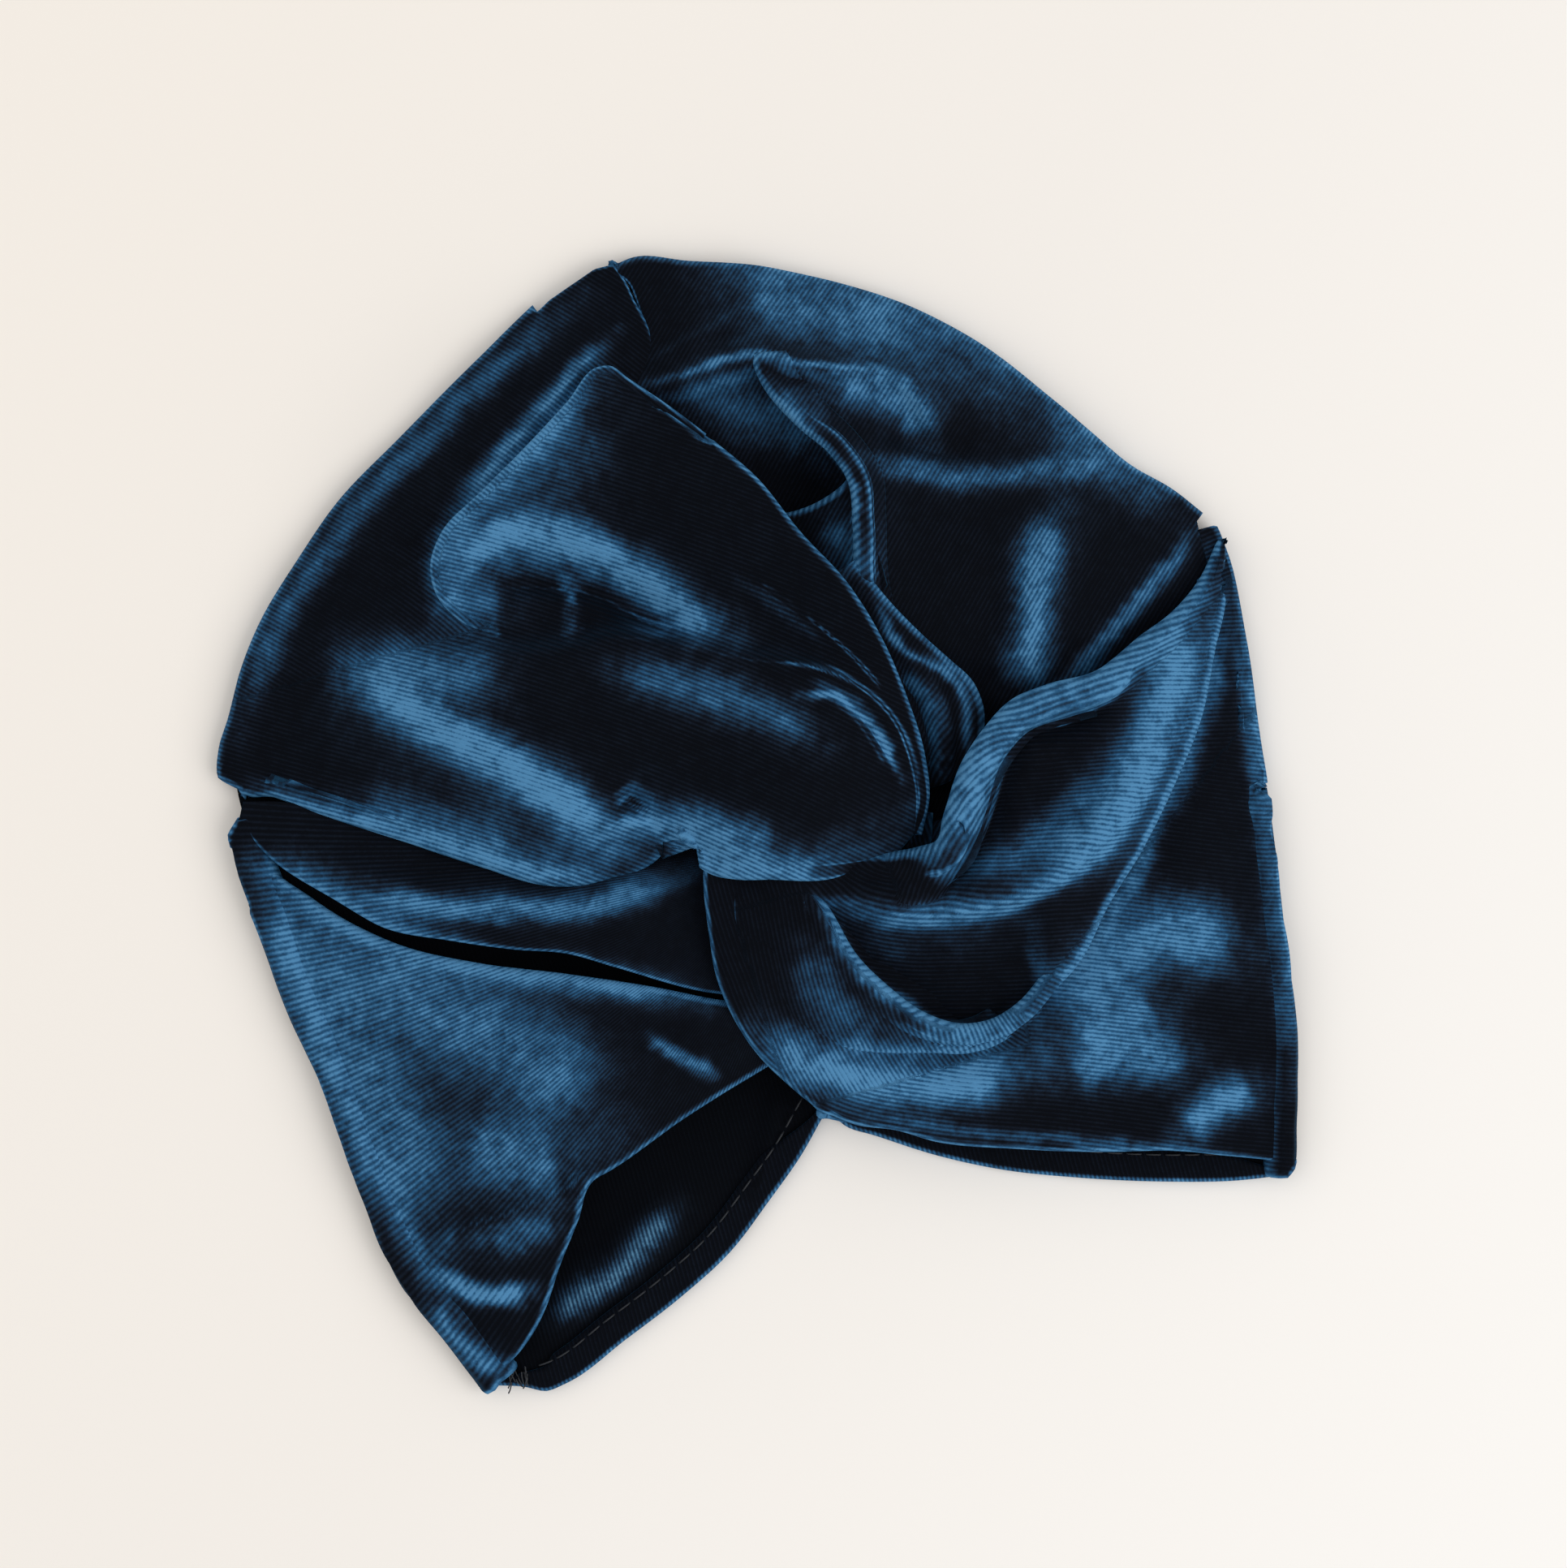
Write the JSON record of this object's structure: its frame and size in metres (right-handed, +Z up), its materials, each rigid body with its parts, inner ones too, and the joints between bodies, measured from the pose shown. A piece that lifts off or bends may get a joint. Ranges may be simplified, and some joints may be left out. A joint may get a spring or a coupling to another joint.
{
  "type": "knotted headband",
  "caption": "Wide turban-style headband of doubled stretch velvet with a knotted front, lying flat with the knot up.",
  "frame": {"origin": "on the table under the middle of the outline", "axes": "+Y from the open hem to the crown, +Z up from the table through the knotted front, +X to the right in plan"},
  "size_m": [0.2412, 0.2485, 0.0369],
  "materials": {
    "outer_velvet": "stretch velvet, dark petrol blue, fine ribs, pile up",
    "inner_velvet": "the same velvet as the inner face, pile crushed",
    "navy_thread": "polyester sewing thread, matt"
  },
  "bodies": {
    "root": {"left_back_panel": "outer_velvet", "right_back_panel": "outer_velvet", "left_hem_turn": "outer_velvet", "right_hem_turn": "outer_velvet", "left_crown_arm": "outer_velvet", "right_crown_arm": "outer_velvet", "left_hem_arm": "outer_velvet", "right_hem_arm": "outer_velvet", "left_knot_turn": "outer_velvet", "right_knot_turn": "outer_velvet", "left_corner_tuck": "outer_velvet", "right_corner_tuck": "outer_velvet", "left_back_lining": "inner_velvet", "right_back_lining": "inner_velvet", "left_crown_arm_lining": "inner_velvet", "right_crown_arm_lining": "inner_velvet", "left_hem_arm_lining": "inner_velvet", "right_hem_arm_lining": "inner_velvet", "back_seam_allowance": "inner_velvet", "back_seam_thread": "navy_thread", "crown_seam_thread": "navy_thread", "left_hem_thread": "navy_thread", "right_hem_thread": "navy_thread"}
  },
  "joints": []
}
